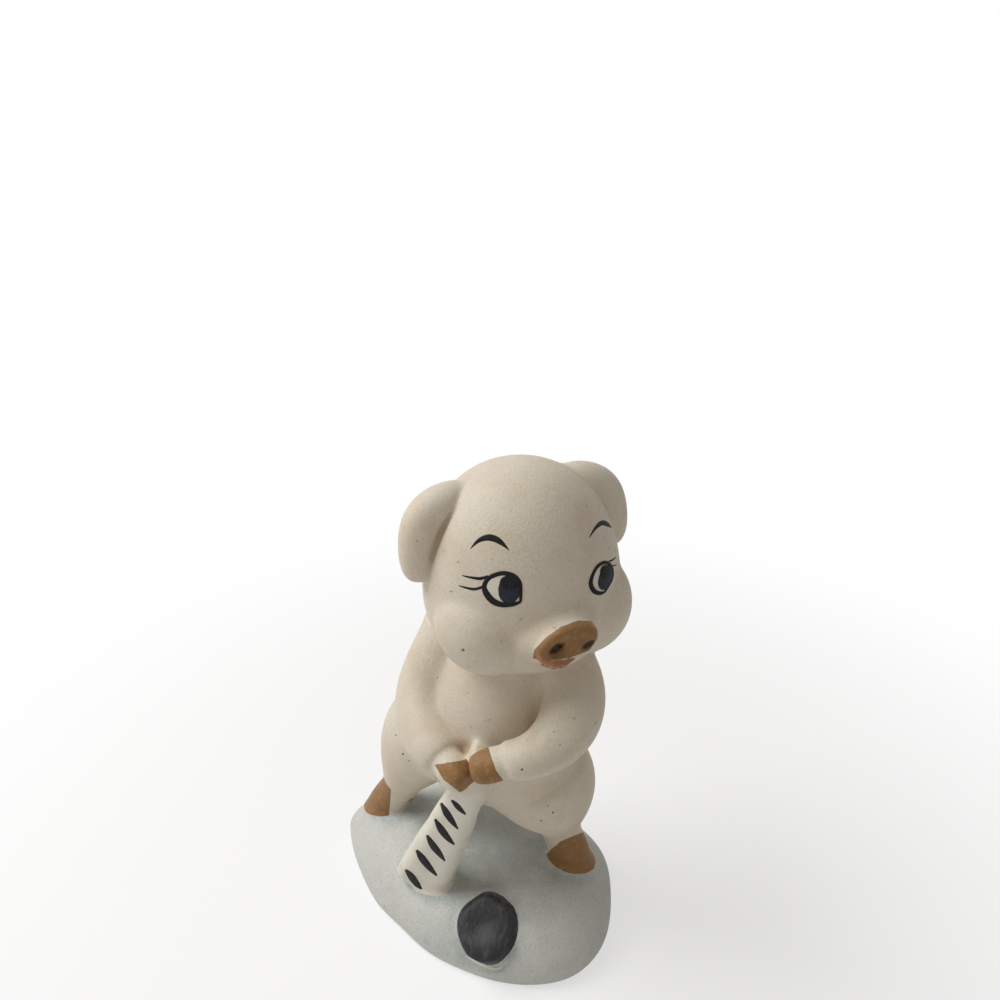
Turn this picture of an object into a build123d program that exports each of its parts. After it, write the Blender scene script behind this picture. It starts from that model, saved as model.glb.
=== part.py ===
from build123d import *
import math
import os

# The pig's own sides. Each piece is cut by the outer form of what carries it, so they meet face to face.
LEFT = 1
RIGHT = -1

# Casting: walls of the hollow pieces, the hole underneath and the passages between the hollows
casting_wall = 2.4
vent_diameter = 5.0
vent_shares = (0.3, 0.0, 0.0)
passage_diameter = 2.4
neck_passage_share = 0.5
leg_passage_share = 0.33
cut_overrun = 1.0

# Base: a low mound of ice with a steep rim, flat underneath, its top shifted to the pig's left
base_length = 43.4
base_depth = 28.0
base_height = 9.0
base_lean = 1.5
base_outline_shares = [(-1.0, 0.04), (-0.68, -0.46), (-0.11, -0.9), (0.34, -0.98), (0.7, -0.87),
                       (0.95, -0.47), (0.955, 0.08), (0.82, 0.55), (0.45, 0.88), (0.0, 1.0),
                       (-0.5, 0.85), (-0.85, 0.5)]
# height and spread of each level of the mound
base_profile_shares = [(0.0, 0.97), (0.18, 1.0), (0.4, 0.975), (0.6, 0.91), (0.8, 0.75), (0.93, 0.45),
                       (1.0, 0.2)]

# Torso: a round belly that leans over the pig's left foot
crotch_rise = 9.0
torso_height = 28.0
torso_width = 20.6
torso_depth = 18.6
torso_shift = 4.0
torso_lean = 4.0
# height and spread of each level of the torso
torso_profile_shares = [(0.08, 0.4), (0.17, 0.78), (0.39, 1.0), (0.7, 0.9), (0.88, 0.72), (1.0, 0.5)]

# Head: an egg, wide at the cheeks, sunk over the neck and turned to the pig's left
head_width = 23.2
head_height = 24.6
neck_sink = 4.6
head_shift = 1.2
head_set_back = 0.6
head_turn = 42.0
head_widest_share = 0.38
head_round_share = 0.62
cheek_diameter = 12.5
cheek_shares = (0.46, -0.36, -0.34)

# Muzzle and snout: a short trumpet that ends in a flat oval pad with two nostrils
snout_width = 7.0
snout_height = 4.7
snout_thickness = 1.6
snout_roll = 12.0
snout_drop = 3.6
muzzle_length = 0.6
# reach from the head's middle to the pad and swell over the pad at each level of the muzzle
muzzle_profile_shares = [(0.3, 1.9), (0.75, 1.6), (0.93, 1.22), (1.0, 0.98)]
# depth and spread of each level of the pad
snout_profile_shares = [(-0.6, 0.9), (0.2, 1.0), (0.75, 0.98), (1.0, 0.82)]
nostril_diameter = 1.2
nostril_shares = (0.42, 0.1)

# Ears: thick flaps that fold over at the crown and hang beside the head
ear_length = 9.0
ear_width = 5.4
ear_thickness = 5.0
# side, front and height of the ear's root and fold in head sizes, and the flap's spread
ear_fold_shares = [(0.48, 0.0, 0.57, 0.95), (0.74, 0.06, 0.645, 1.0), (0.935, 0.05, 0.51, 0.97)]
# side and drop below the fold in ear lengths, and the flap's spread
ear_hang_shares = [(0.075, -0.3, 0.95), (0.095, -0.54, 0.83), (0.07, -0.7, 0.57)]

# Arms: bent forwards so that the hands meet in front of the belly
shoulder_diameter = 8.6
hand_trotter_width = 3.9
hand_trotter_length = 4.2
# side, front and height in torso sizes, and thickness, from shoulder to wrist
right_arm_shares = [(-0.68, 0.0, 0.92, 0.98), (-0.8, -0.2, 0.74, 0.97), (-0.82, -0.55, 0.59, 0.87),
                    (-0.58, -0.96, 0.54, 0.68), (-0.26, -1.16, 0.51, 0.54)]
left_arm_shares = [(0.5, -0.05, 0.9, 0.92), (0.84, -0.25, 0.8, 0.94), (1.0, -0.65, 0.71, 0.82),
                   (0.82, -1.08, 0.645, 0.62), (0.51, -1.24, 0.61, 0.53)]
hand_profile_shares = [(-0.3, 0.9), (0.3, 1.0), (0.75, 0.92), (1.0, 0.66)]

# Legs: spread wide, each ending in a trotter on the base
thigh_diameter = 13.4
left_leg_bow = 0.6
right_leg_bow = 1.2
foot_trotter_width = 5.4
foot_trotter_height = 6.7
left_hip_shares = (0.6, 0.08, 0.18)
right_hip_shares = (-0.71, 0.08, 0.36)
left_foot_shares = (0.7, 0.16, 0.76)
right_foot_shares = (-0.705, 0.16, 0.73)
# place along the leg above its trotter, bow and thickness
leg_profile_shares = [(0.0, 0.0, 1.0), (0.42, 0.9, 0.9), (0.76, 0.4, 0.6), (1.0, -0.1, 0.38)]
# place along the trotter from its top, bow and thickness
trotter_profile_shares = [(-0.2, -0.1, 0.9), (0.3, -0.05, 1.0), (0.8, 0.0, 1.02), (1.35, 0.0, 0.94)]

# Stick: a tapered bar from behind the hands down to the ice
stick_top_width = 3.4
stick_bottom_width = 7.8
stick_thickness = 3.8
stick_corner_share = 0.42
stick_butt = 2.2
stick_grip_shares = (0.16, -1.02, 0.5)
stick_foot_shares = (-0.155, -0.56, 0.74)

# Puck: a thick disc that lies on the front slope of the mound
puck_diameter = 7.7
puck_thickness = 3.4
puck_rim_share = 0.25
puck_tilt = 32.0
puck_shares = (0.36, -0.77, 0.67)

# Tail: a small curl at the back
tail_thickness = 2.8
tail_curl = 3.8
tail_reach = 2.6
tail_turn = 300.0
tail_stations = 7
tail_taper_share = 0.45
tail_root_shares = (0.0, 0.84, 0.28)


def base_point(side_share, front_share, level_share):
    """Place on the base in shares of its half length, half depth and height."""
    return Vector(side_share * base_length / 2, front_share * base_depth / 2, level_share * base_height)


def torso_point(side_share, front_share, height_share):
    """Place beside the torso's leaning middle line, in shares of its half width, half depth and height."""
    middle = torso_shift + torso_lean * height_share
    return Vector(middle + side_share * torso_width / 2, front_share * torso_depth / 2,
                  base_height + crotch_rise + height_share * torso_height)


def head_middle():
    """Middle of the head above the sunk neck."""
    return torso_point(0, 0, 1) + Vector(head_shift, head_set_back, head_height / 2 - neck_sink)


def on_head(form):
    """Move a form that faces forwards about the origin to the turned head."""
    return Pos(head_middle()) * Rot(0, 0, head_turn) * form


def limb(stations, wide_way):
    """Solid through ovals set square to the line of their centres."""
    sections = []
    last = len(stations) - 1
    for index, (centre, wide, thick) in enumerate(stations):
        before = stations[max(index - 1, 0)][0]
        after = stations[min(index + 1, last)][0]
        square = Plane(origin=centre, x_dir=wide_way, z_dir=after - before)
        sections.append(square * Ellipse(wide / 2, thick / 2))
        wide_way = square.x_dir
    return loft(sections)


def seat(form, *carriers):
    """Form with the outer forms of its carriers cut away, as one solid."""
    for carrier in carriers:
        form = form - carrier
    return max(form.solids(), key=lambda solid: solid.volume)


def passage(start, end):
    """Round bore from one hollow to the next."""
    run = end - start
    bore = Cylinder(passage_diameter / 2, run.length, align=(Align.CENTER, Align.CENTER, Align.MIN))
    return Plane(origin=start, z_dir=run) * bore


def base_form(length, depth, height):
    """Mound on the floor, lofted through its outline at each level."""
    sections = []
    for rise, spread in base_profile_shares:
        points = [(x * spread * length / 2, y * spread * depth / 2) for x, y in base_outline_shares]
        sections.append(Pos(rise * base_lean, 0, rise * height) * make_face(Spline(*points, periodic=True)))
    return loft(sections)


def torso_form(inset):
    """Belly through ovals on the leaning middle line, drawn in by an inset all round."""
    sections = []
    for rise, spread in torso_profile_shares:
        level = inset + rise * (torso_height - 2 * inset)
        centre = torso_point(0, 0, level / torso_height)
        deep = spread * (torso_depth / 2 - inset)
        wide = spread * (torso_width / 2 - inset)
        # a quarter turn keeps the seam at the back, clear of the legs and their passage
        oval = Ellipse(deep, wide, rotation=90)
        sections.append(Pos(centre) * oval)
    return loft(sections)


def egg(inset):
    """Head without its muzzle, about the origin, drawn in by an inset all round."""
    spread = head_width / 2 - inset
    drop = head_widest_share * head_height - inset
    rise = (1 - head_widest_share) * head_height - inset
    full = head_round_share
    chin = Bezier((0, -drop), (full * spread, -drop), (spread, -full * drop), (spread, 0))
    crown = Bezier((spread, 0), (spread, full * rise), (full * spread, rise), (0, rise))
    half = make_face(chin + crown + Line((0, rise), (0, -drop)))
    widest = Pos(0, 0, (head_widest_share - 1 / 2) * head_height)
    return widest * revolve(Plane.XZ * half, Axis.Z)


def snout_levels(levels):
    """Loft through rolled ovals, each at a distance in front of the head's middle."""
    sections = []
    for distance, spread in levels:
        front = Plane(origin=(0, -distance, -snout_drop), x_dir=(1, 0, 0), z_dir=(0, -1, 0))
        oval = Ellipse(spread * snout_width / 2, spread * snout_height / 2)
        sections.append(front * Rot(0, 0, snout_roll) * oval)
    return loft(sections)


def muzzle_reach():
    """Distance from the head's middle to the back of the snout pad."""
    return head_width / 2 + muzzle_length


def head_form():
    """Egg with its cheeks and the trumpet of the muzzle, turned into place."""
    side_share, front_share, up_share = cheek_shares
    muzzle = snout_levels([(reach * muzzle_reach(), swell) for reach, swell in muzzle_profile_shares])
    form = egg(0) + muzzle
    for side in (LEFT, RIGHT):
        cheek = Pos(side * side_share * head_width / 2, front_share * head_width / 2,
                    up_share * head_height / 2)
        form += cheek * Sphere(cheek_diameter / 2)
    return on_head(form)


def snout_form():
    """Oval pad with two nostrils, turned into place with the head."""
    levels = [(muzzle_reach() + rise * snout_thickness, spread) for rise, spread in snout_profile_shares]
    pad = snout_levels(levels)
    side_share, up_share = nostril_shares
    front = Plane(origin=(0, -muzzle_reach() - snout_thickness, -snout_drop), x_dir=(1, 0, 0),
                  z_dir=(0, -1, 0))
    for side in (LEFT, RIGHT):
        place = Pos(side * side_share * snout_width / 2, up_share * snout_height / 2)
        pad -= front * Rot(0, 0, snout_roll) * place * Sphere(nostril_diameter / 2)
    return on_head(pad)


def ear_form(side):
    """Flap that leaves the crown, folds over and hangs beside the head."""
    stations = []
    for x, y, z, spread in ear_fold_shares:
        centre = Vector(side * x * head_width / 2, y * head_width / 2, z * head_height / 2)
        stations.append((centre, spread * ear_width, spread * ear_thickness))
    fold = centre
    for out, down, spread in ear_hang_shares:
        centre = fold + Vector(side * out * ear_length, 0, down * ear_length)
        stations.append((centre, spread * ear_width, spread * ear_thickness))
    return on_head(limb(stations, Vector(0, 0, 1)))


def arm_stations(side):
    """Places and thickness of an arm from its shoulder to its wrist."""
    shares = left_arm_shares if side == LEFT else right_arm_shares
    stations = []
    for across, front, height, thick in shares:
        stations.append((torso_point(across, front, height), thick * shoulder_diameter,
                         thick * shoulder_diameter))
    return stations


def arm_way(side):
    """Steady sideways direction for the ovals of an arm."""
    return Vector(-side, 1, 0)


def hand_form(side):
    """Trotter that goes on from the wrist along the forearm."""
    elbow, wrist = [station[0] for station in arm_stations(side)[-2:]]
    way = (wrist - elbow).normalized() * hand_trotter_length
    stations = []
    for along, spread in hand_profile_shares:
        stations.append((wrist + way * along, spread * hand_trotter_width, spread * hand_trotter_width))
    return limb(stations, arm_way(side))


def leg_ends(side):
    """Hip, ankle and sole of a leg, all on one line."""
    hip = torso_point(*(left_hip_shares if side == LEFT else right_hip_shares))
    sole = base_point(*(left_foot_shares if side == LEFT else right_foot_shares))
    ankle = sole + (hip - sole).normalized() * foot_trotter_height
    return hip, ankle, sole


def leg_stations(side, start, end, profile_shares, thickness):
    """Places and thickness along a stretch of a bowed leg."""
    bow = left_leg_bow if side == LEFT else right_leg_bow
    run = end - start
    outwards = Vector(side * abs(run.Z), 0, abs(run.X)).normalized()
    stations = []
    for along, bend, thick in profile_shares:
        centre = start + run * along + outwards * bend * bow
        stations.append((centre, thick * thickness, thick * thickness))
    return stations


def leg_form(side):
    """Thigh and shin down to the top of the trotter."""
    hip, ankle, _ = leg_ends(side)
    return limb(leg_stations(side, hip, ankle, leg_profile_shares, thigh_diameter), Vector(0, 1, 0))


def foot_form(side):
    """Trotter from the shin down into the base."""
    _, ankle, sole = leg_ends(side)
    stations = leg_stations(side, ankle, sole, trotter_profile_shares, foot_trotter_width)
    return limb(stations, Vector(0, 1, 0))


def stick_form():
    """Tapered bar with rounded corners from inside the base to the butt above the hands."""
    foot = base_point(*stick_foot_shares)
    grip = torso_point(*stick_grip_shares)
    run = grip - foot
    top = grip + run.normalized() * stick_butt
    sections = []
    for centre, width in ((foot, stick_bottom_width), (top, stick_top_width)):
        square = Plane(origin=centre, x_dir=(1, 0, 0), z_dir=run)
        corner = stick_corner_share * min(width, stick_thickness)
        sections.append(square * RectangleRounded(width, stick_thickness, corner))
    return loft(sections, ruled=True)


def puck_form():
    """Disc with rounded rims, tilted to the slope of the mound."""
    disc = Cylinder(puck_diameter / 2, puck_thickness)
    disc = fillet(disc.edges().filter_by(GeomType.CIRCLE), puck_rim_share * puck_thickness)
    return Pos(base_point(*puck_shares)) * Rot(puck_tilt, 0, 0) * disc


def tail_form():
    """Corkscrew that leaves the back of the torso and thins to its tip."""
    root = torso_point(*tail_root_shares)
    reach = torso_depth / 2 + tail_reach - root.Y
    stations = []
    for index in range(tail_stations):
        share = index / (tail_stations - 1)
        angle = math.radians(share * tail_turn)
        across = math.sin(angle) * tail_curl / 2
        up = (1 - math.cos(angle)) * tail_curl / 2
        centre = root + Vector(across, share * reach, up)
        thick = tail_thickness * (1 - share * tail_taper_share)
        stations.append((centre, thick, thick))
    return limb(stations, Vector(1, 0, 1))


def make_parts():
    """Every piece, seated on what carries it, by name."""
    base = base_form(base_length, base_depth, base_height)
    torso = torso_form(0)
    head = head_form()
    stick = stick_form()
    legs = {side: leg_form(side) for side in (LEFT, RIGHT)}
    arms = {side: limb(arm_stations(side), arm_way(side)) for side in (LEFT, RIGHT)}
    hands = {side: hand_form(side) for side in (LEFT, RIGHT)}

    base_hollow = Pos(0, 0, casting_wall) * base_form(base_length - 2 * casting_wall,
                                                      base_depth - 2 * casting_wall,
                                                      base_height - 2 * casting_wall)
    vent = Pos(base_point(*vent_shares)) * Cylinder(vent_diameter / 2, 2 * (casting_wall + cut_overrun))
    torso_hollow = torso_form(casting_wall)
    neck_bore = passage(torso_point(0, 0, neck_passage_share), head_middle())
    _, ankle, sole = leg_ends(LEFT)
    leg_bore = passage(torso_point(0, 0, leg_passage_share), ankle)
    leg_bore += passage(ankle, sole - Vector(0, 0, casting_wall))

    pieces = {
        "base": base - base_hollow - vent - leg_bore,
        "torso": torso - torso_hollow - neck_bore - leg_bore,
        "head": seat(head, torso) - on_head(egg(casting_wall)),
        "snout": seat(snout_form(), head),
        "stick": seat(stick, base, torso),
        "puck": seat(puck_form(), base),
        "tail": seat(tail_form(), torso),
        "left_leg": seat(legs[LEFT], torso, base) - leg_bore,
        "right_leg": seat(legs[RIGHT], torso, base, legs[LEFT]),
        "left_arm": seat(arms[LEFT], torso, head, stick),
        "right_arm": seat(arms[RIGHT], torso, head, stick, legs[RIGHT]),
        "left_hand_trotter": seat(hands[LEFT], arms[LEFT], torso, stick, arms[RIGHT]),
        "right_hand_trotter": seat(hands[RIGHT], arms[RIGHT], torso, stick, arms[LEFT], hands[LEFT]),
    }
    for side, name in ((LEFT, "left"), (RIGHT, "right")):
        pieces[name + "_ear"] = seat(ear_form(side), head)
        pieces[name + "_foot_trotter"] = seat(foot_form(side), legs[side], base)
    pieces["left_foot_trotter"] -= leg_bore
    return pieces


os.makedirs("parts", exist_ok=True)
for name, piece in make_parts().items():
    export_step(piece, "parts/" + name + ".step")
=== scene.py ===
import bmesh
import bpy
import numpy as np
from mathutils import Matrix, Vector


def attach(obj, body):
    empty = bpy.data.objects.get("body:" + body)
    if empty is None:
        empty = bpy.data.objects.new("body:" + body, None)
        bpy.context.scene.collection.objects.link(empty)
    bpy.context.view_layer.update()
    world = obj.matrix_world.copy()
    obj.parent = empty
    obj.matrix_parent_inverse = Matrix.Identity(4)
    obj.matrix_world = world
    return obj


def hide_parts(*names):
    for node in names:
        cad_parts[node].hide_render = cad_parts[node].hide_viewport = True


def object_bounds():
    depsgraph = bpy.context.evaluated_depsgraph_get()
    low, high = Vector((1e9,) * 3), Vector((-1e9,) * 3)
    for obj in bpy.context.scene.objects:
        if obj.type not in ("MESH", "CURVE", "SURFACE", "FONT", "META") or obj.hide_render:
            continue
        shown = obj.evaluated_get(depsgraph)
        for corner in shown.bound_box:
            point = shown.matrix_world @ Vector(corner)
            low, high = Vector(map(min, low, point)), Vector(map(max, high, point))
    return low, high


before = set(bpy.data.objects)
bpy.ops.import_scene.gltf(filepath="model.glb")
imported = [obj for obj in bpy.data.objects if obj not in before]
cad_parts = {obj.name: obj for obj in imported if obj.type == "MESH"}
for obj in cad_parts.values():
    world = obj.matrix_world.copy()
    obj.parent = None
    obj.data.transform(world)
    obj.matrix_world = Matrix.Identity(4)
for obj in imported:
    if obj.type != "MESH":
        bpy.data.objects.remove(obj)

import openvdb
from bpy.props import FloatProperty, FloatVectorProperty, IntProperty, PointerProperty
from bpy.types import Operator, Panel, PropertyGroup
from mathutils import Matrix, Vector

bl_info = {
    "name": "Bisque Pig Figurine",
    "version": (1, 0, 0),
    "blender": (4, 5, 0),
    "location": "3D View > Sidebar > Pig",
    "description": "Dresses the castings of a small bisque pig with luted joints, stains and painted marks",
    "category": "Object",
}

CAD_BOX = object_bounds()
MM = 0.001
BODY = "root"
PHOTO_SIZE = 1000

# Joint fillet in mm of each casting, in the order in which they are luted together
FILLETS = {
    "torso": 0.0, "right_leg": 2.6, "left_leg": 2.6, "right_arm": 1.0, "left_arm": 1.0, "head": 0.8,
    "right_ear": 0.45, "left_ear": 0.45, "tail": 0.8, "snout": 0.3, "base": 0.8, "stick": 0.7,
    "right_hand_trotter": 0.25, "left_hand_trotter": 0.25, "right_foot_trotter": 1.4,
    "left_foot_trotter": 1.4, "puck": 0.3,
}
# Lumps that handwork leaves: spacing in mm, height in mm and seed
LUMPS = {"base": (6.0, 0.28, 3), "puck": (2.3, 0.5, 5), "stick": (3.0, 0.16, 7)}
SKIN_LUMPS = (7.0, 0.1, 11)
# Round clay on the tops of the right and left arm and the right and left leg: middle, radius and fillet in mm
PADS = [
    ((0.7, 0.3, 43.2), 4.0, 0.6), ((12.4, -0.3, 43.0), 3.7, 0.6),
    ((-1.3, 0.7, 28.0), 6.3, 2.0), ((10.6, 0.7, 23.2), 6.3, 2.0),
]

# Grooves pressed into the clay: x and y in pixels of the photograph and the tool's radius in mm
CARVED = [
    [(549.5, 654, 0.35), (557, 649, 0.7), (565, 643.5, 0.35)],
    [(582.5, 648, 0.3), (587, 645.5, 0.6), (591.5, 642, 0.3)],
    [(539, 655, 0.2), (549, 657.5, 0.3), (560, 657, 0.3), (574, 652, 0.2)],
    [(547, 712, 0.15), (540, 727, 0.35), (533, 743, 0.15)],
    [(464, 489, 0.15), (455, 507, 0.35), (440, 536, 0.4), (431, 560, 0.35), (427, 576, 0.15)],
    [(431, 771, 0.3), (438, 782, 0.55), (447, 790, 0.55), (457, 797, 0.3)],
]
CARVED_SOFTNESS = 0.35
# Clay laid on as the lip, in the same way
LIP_BEADS = [[(539, 660.5, 0.1), (546, 662.5, 0.28), (554, 663.8, 0.32), (562, 662.8, 0.28),
              (570, 659.5, 0.1)]]
# Nearest and farthest places along the eye's ray, in mm
SIGHT = (60.0, 200.0)
# Places between a point and the eye that must be free of clay for it to be seen: first, last and step in mm
CLEAR_SIGHT = (0.8, 34.0, 0.4)

# Carrier and edge of the brown on each stained piece, the edge in pixels of the photograph with the brown
# to the right of the way it runs
STAIN_EDGES = {
    "left_hand_trotter": ("left_arm", [(486, 740), (491, 757), (496, 771), (503.5, 781), (515, 783),
                                       (532, 783)]),
    "right_hand_trotter": ("right_arm", [(466, 797), (456, 789), (443.5, 779.5), (435, 765), (460.6, 761),
                                         (476, 756)]),
    "left_foot_trotter": ("left_leg", [(544, 857), (551, 850), (560, 842), (576, 835), (596, 828)]),
    "right_foot_trotter": ("right_leg", [(393, 768), (391, 785), (390, 800), (388, 822)]),
    "snout": ("head", [(533, 658), (534.5, 650), (547, 637), (561.5, 627), (578.5, 620.5), (591.5, 621.5),
                       (598, 630), (599.5, 640), (596, 647.5), (579.5, 654), (569, 658), (555.5, 659.5),
                       (541, 660), (533, 658)]),
}
# Height in mm from which the stick is bare clay, behind the hands
BARE_STICK = 31.0
# Spacing in mm of the clay's grain
GRAIN = 0.26
# Width in pixels over which the brown fades, and how far in mm it runs from a stained piece to its carrier
STAIN_FADE = 2.5
STAIN_RUN = 2.2
# Width in pixels over which the paint of nostrils and lip fades
STROKE_FADE = 1.6
# Longest edge in mm that whole paint has
WHOLE_PAINT = 4.0
# Pixels between the rings of a stroke and corners of a ring
BRUSH_STEP = 0.8
BRUSH_CORNERS = 14
# Cells of the field beyond the solids, and the share of a casting below which a loose bit is a crumb
FIELD_MARGIN = 4
CRUMB_SHARE = 1 / 50


def disc(x, y, across, up, slope=0.0):
    """Stroke of the brush that fills an oval."""
    turns = np.linspace(0, np.pi, 15)
    return [(x - across * np.cos(turn), y - slope * across * np.cos(turn), up * np.sin(turn) + 0.2)
            for turn in turns]


# Castings that carry the nostrils and the lip
MUZZLE = ("head", "snout")
# Painted marks in pixels of the photograph: x, y and half the width of the brush at each point
BROWS = [
    [(470.5, 548.5, 0.4), (479, 540.5, 2.1), (489, 537.5, 3.3), (499, 541, 2.9), (509, 550, 0.4)],
    [(589.3, 537.5, 0.4), (595.5, 528, 1.5), (602, 522.8, 2.5), (607.5, 524.6, 2.1), (611.5, 527.8, 0.4)],
]
LASHES = [
    [(462, 575.5, 0.4), (471, 577.5, 1.2), (480, 578.5, 1.6), (488, 576.5, 1.5)],
    [(458.5, 585.5, 0.4), (467, 588, 1.1), (476, 589, 1.4), (484, 586, 1.3)],
    [(616, 556.6, 0.3), (613.5, 559.3, 0.8), (609, 561.5, 1.1)],
    [(616.3, 564.4, 0.3), (614.5, 565.4, 0.7), (611.5, 566, 1.0)],
]
EYE_RIMS = [
    [(520.5, 602, 1.2), (513, 604, 2.2), (503, 604.6, 2.6), (494, 601.5, 3.2), (487.3, 594.5, 3.3),
     (484.3, 586.5, 2.4), (488, 579, 2.2), (496, 574.6, 2.2), (505, 573.2, 2.2), (514, 576, 2.3),
     (519.3, 582.5, 2.3), (520.6, 592, 1.9), (520.5, 602, 1.2)],
    [(604.5, 592, 1.0), (599, 593.2, 2.0), (593.5, 590.5, 2.4), (590.6, 583.5, 2.1), (592.8, 574, 1.6),
     (597.5, 566.3, 1.7), (604, 562.5, 1.8), (609.5, 564.5, 1.6), (612.2, 571, 1.3), (611.2, 580, 1.2),
     (604.5, 592, 1.0)],
]
EYE_WHITES = [
    [(485.5, 588, 3.0), (490, 588, 11.5), (497, 588.5, 14.0), (506, 589, 14.5), (515, 590, 13.0),
     (520, 592, 5.0)],
    [(591.5, 581, 3.0), (596, 579, 10.0), (602, 577, 13.5), (608, 575, 12.0), (612, 573, 5.0)],
]
IRISES = [disc(508.8, 589.6, 11.6, 13.6), disc(604.8, 577.8, 6.8, 12.2, 0.25)]
PUPILS = [disc(509.5, 582.5, 9.5, 6.8, 0.1), disc(605, 571.5, 5.6, 6.4, 0.2)]
NOSTRILS = [
    [(549.5, 653.5, 0.6), (553.5, 651, 2.4), (558, 648.2, 2.9), (565, 643.5, 0.6)],
    [(582, 648.5, 0.8), (585.5, 646.6, 2.6), (589.5, 644, 3.0), (594, 640.5, 0.8)],
]
SPECKS = [disc(x, y, size, 0.8 * size) for x, y, size in (
    (463, 650, 1.7), (451, 591.5, 1.0), (570, 561, 0.7), (403, 754, 1.3), (522, 769.5, 1.5),
    (553, 812.5, 1.2), (541, 820.5, 1.0), (548, 806, 0.8), (396, 735, 0.9), (417, 541, 0.8), (408, 549, 0.6),
    (480, 712, 0.7), (560, 745, 0.8), (501, 689, 0.6), (409, 761, 0.8))]
LIPS = [[(536.5, 658.5, 1.0), (544, 662.5, 3.8), (553, 664.8, 4.6), (563, 663.6, 4.0), (574, 658.5, 1.2)]]
CHIPS = [[(466, 955.5, 0.4), (476, 962, 1.2), (488, 967, 1.5), (498, 968.5, 1.1), (507, 961, 0.4)]]
STRIPES = [
    [(405.5, 869.6, 1.2), (411, 876, 3.4), (417, 884, 3.0), (421.8, 889, 0.8)],
    [(416.7, 850, 1.2), (422, 858, 3.6), (430, 868, 3.0), (437, 875.7, 0.8)],
    [(427, 835, 1.2), (432, 844, 3.4), (439, 853, 3.0), (445, 861, 0.8)],
    [(435, 819, 1.2), (441, 829, 3.6), (448, 838, 3.0), (454.5, 844.7, 0.8)],
    [(441, 803, 1.2), (446, 812, 3.4), (452, 821, 2.9), (458, 829, 0.8)],
    [(451.5, 800, 0.9), (455.5, 804.2, 2.4), (460, 809, 2.6), (465.7, 814.5, 0.8)],
]


class PigClay(PropertyGroup):
    """Sizes of the shared field that the castings are shaped in."""

    cell: FloatProperty(name="Cell", description="Spacing of the field", default=0.25 * MM, unit="LENGTH")
    band: IntProperty(name="Band", description="Cells each side of a surface", default=12)
    overlap: FloatProperty(name="Overlap", description="How far a casting runs under the next",
                           default=0.7 * MM, unit="LENGTH")
    dive: FloatProperty(name="Dive", description="Depth of a casting's hidden edge",
                        default=0.12 * MM, unit="LENGTH")
    soften: FloatProperty(name="Soften", description="Width over which edges are wiped smooth",
                          default=0.75 * MM, unit="LENGTH")
    # Also sets how wide the painted shade in the folds of the bisque and the mound spreads
    crease_reach: FloatProperty(name="Stain Reach", description="Width over which stain gathers in creases",
                               default=2.5 * MM, unit="LENGTH")


def tint(name, description, default):
    """Setting that holds a colour."""
    return FloatVectorProperty(name=name, description=description, subtype="COLOR", default=default)


class PigColours(PropertyGroup):
    """Colours of the bisque, its stains and its paints."""

    skin: tint("Skin", "Unglazed bisque", (0.69, 0.625, 0.515))
    # Painted warm shade in the folds of the bisque; the same tone also colours its dirt clouds and the edges
    # of the iron specks
    fold_shade_and_dirt: tint("Fold Shade and Dirt", "Warm tone in folds", (0.42, 0.30, 0.20))
    flush: tint("Flush", "Warm clouds on the bisque", (0.63, 0.51, 0.365))
    rose: tint("Rose", "Pinkish clouds on the bisque", (0.66, 0.50, 0.43))
    grain: tint("Grain", "Fine grain of the bisque", (0.48, 0.40, 0.30))
    speck: tint("Speck", "Brown specks in the bisque", (0.26, 0.16, 0.08))
    ice: tint("Ice", "Blue-grey stain of the mound", (0.40, 0.445, 0.435))
    frost: tint("Frost", "Pale mottling of the mound", (0.50, 0.535, 0.51))
    rim: tint("Rim", "Worn pale rims of the mound", (0.66, 0.65, 0.60))
    # Painted shade in the folds of the mound, and also the colour of its dark specks and sponge marks
    shade_and_mottle_grey: tint("Shade and Mottle Grey", "Folds and specks of the mound", (0.25, 0.25, 0.23))
    hoof: tint("Hoof", "Brown stain of trotters and snout", (0.27, 0.14, 0.05))
    hoof_thin: tint("Thin Hoof", "Brown stain where it is thin", (0.44, 0.26, 0.115))
    hoof_dark: tint("Dark Hoof", "Brown stain where it gathers", (0.07, 0.032, 0.012))
    slip: tint("White Slip", "White of the stick and the eyes", (0.72, 0.69, 0.60))
    slip_warm: tint("Warm Slip", "White slip where it is thin", (0.60, 0.54, 0.43))
    black: tint("Black", "Black of the puck and the brushwork", (0.022, 0.021, 0.022))
    black_dry: tint("Dry Black", "Black where the brush ran dry", (0.06, 0.058, 0.057))
    iris: tint("Iris", "Slate of the eyes", (0.035, 0.038, 0.052))
    iris_dry: tint("Dry Iris", "Slate where the brush ran dry", (0.07, 0.075, 0.10))
    lip: tint("Lip", "Terracotta of the lip", (0.33, 0.125, 0.055))
    lip_dry: tint("Dry Lip", "Terracotta where the brush ran dry", (0.48, 0.25, 0.14))
    nostril: tint("Nostril", "Darkest brown, inside the nostrils", (0.03, 0.014, 0.008))
    floor: tint("Floor", "Pale floor", (0.9, 0.9, 0.9))
    daylight: tint("Daylight", "Even light from all round", (1.0, 0.95, 0.88))


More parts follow.
